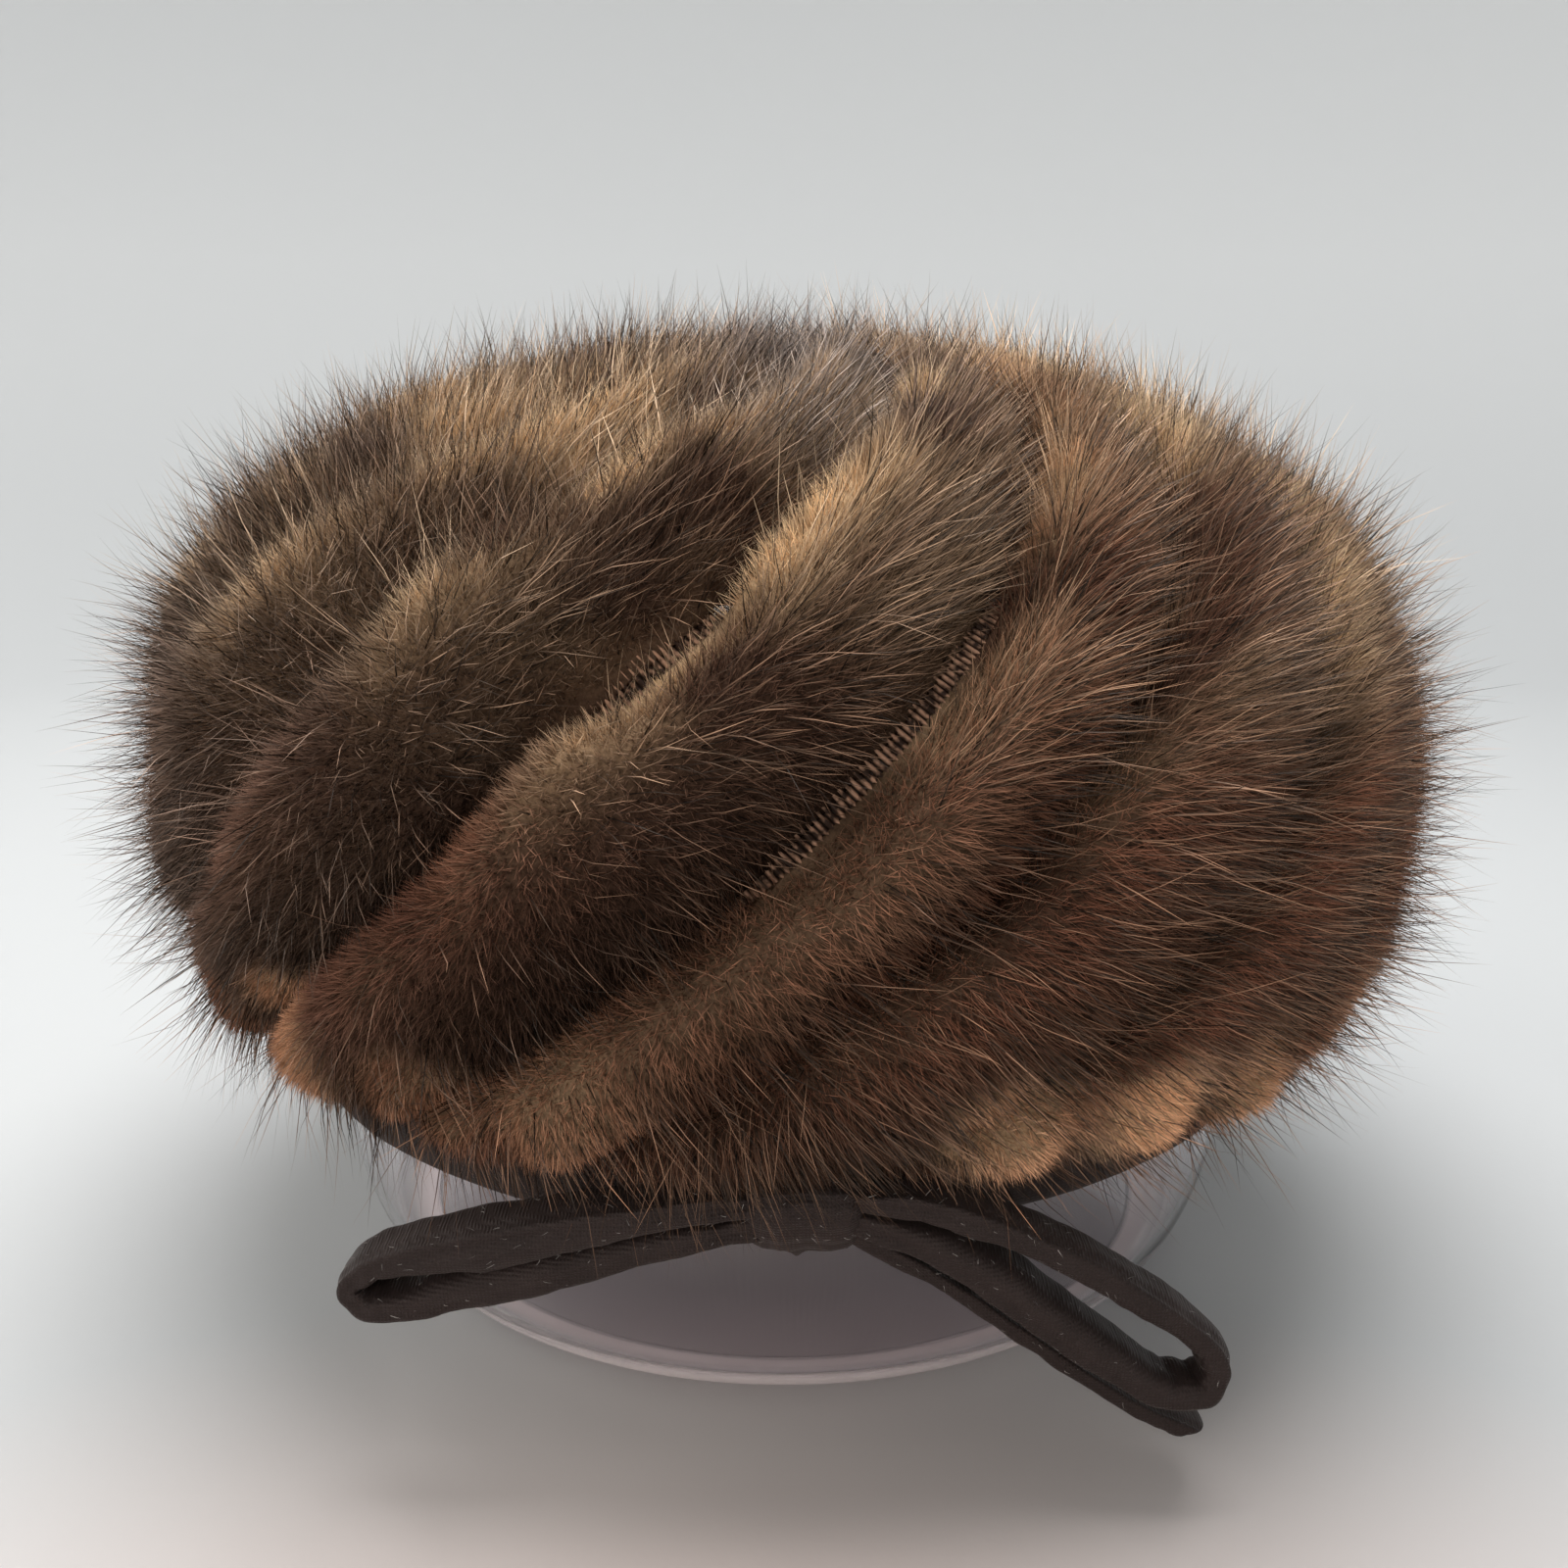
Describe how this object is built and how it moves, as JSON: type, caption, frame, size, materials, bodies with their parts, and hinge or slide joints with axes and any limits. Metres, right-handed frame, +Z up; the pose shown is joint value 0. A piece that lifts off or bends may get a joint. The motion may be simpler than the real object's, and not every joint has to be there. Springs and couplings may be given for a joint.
{
  "type": "fur hat on a clear plastic stand",
  "caption": "Round boxy hat of swirled fur strips over a stiff cloth crown, with a dark rim band and a drooping cloth tube bow, resting on a clear plastic bowl stand.",
  "frame": {"origin": "middle of the stand's flat underside, on the surface that it rests on", "axes": "+Z up, -Y towards the front where the bow is, +X to the right as seen from the front"},
  "size_m": [0.2331, 0.2336, 0.1656],
  "materials": {
    "fur": "deep soft fur, dark brown guard hair over tan underfur",
    "crown_cloth": "dark brown ribbed weave with fine satin ribs",
    "band_cloth": "near black soft cloth",
    "bow_cloth": "dark greyish brown cotton sateen with lint",
    "clear_plastic": "clear, smooth, faint handling marks"
  },
  "bodies": {
    "root": {"stand": "clear_plastic", "crown": "crown_cloth", "rim_band": "band_cloth", "fur_strip_01": "fur", "fur_strip_02": "fur", "fur_strip_03": "fur", "fur_strip_04": "fur", "fur_strip_05": "fur", "fur_strip_06": "fur", "fur_strip_07": "fur", "fur_strip_08": "fur", "fur_strip_09": "fur", "fur_strip_10": "fur", "fur_strip_11": "fur", "fur_strip_12": "fur", "fur_strip_13": "fur", "fur_strip_14": "fur", "fur_strip_15": "fur", "fur_strip_16": "fur", "bow_loop_left": "bow_cloth", "bow_loop_right": "bow_cloth", "bow_tail": "bow_cloth", "bow_knot": "bow_cloth"}
  },
  "joints": []
}
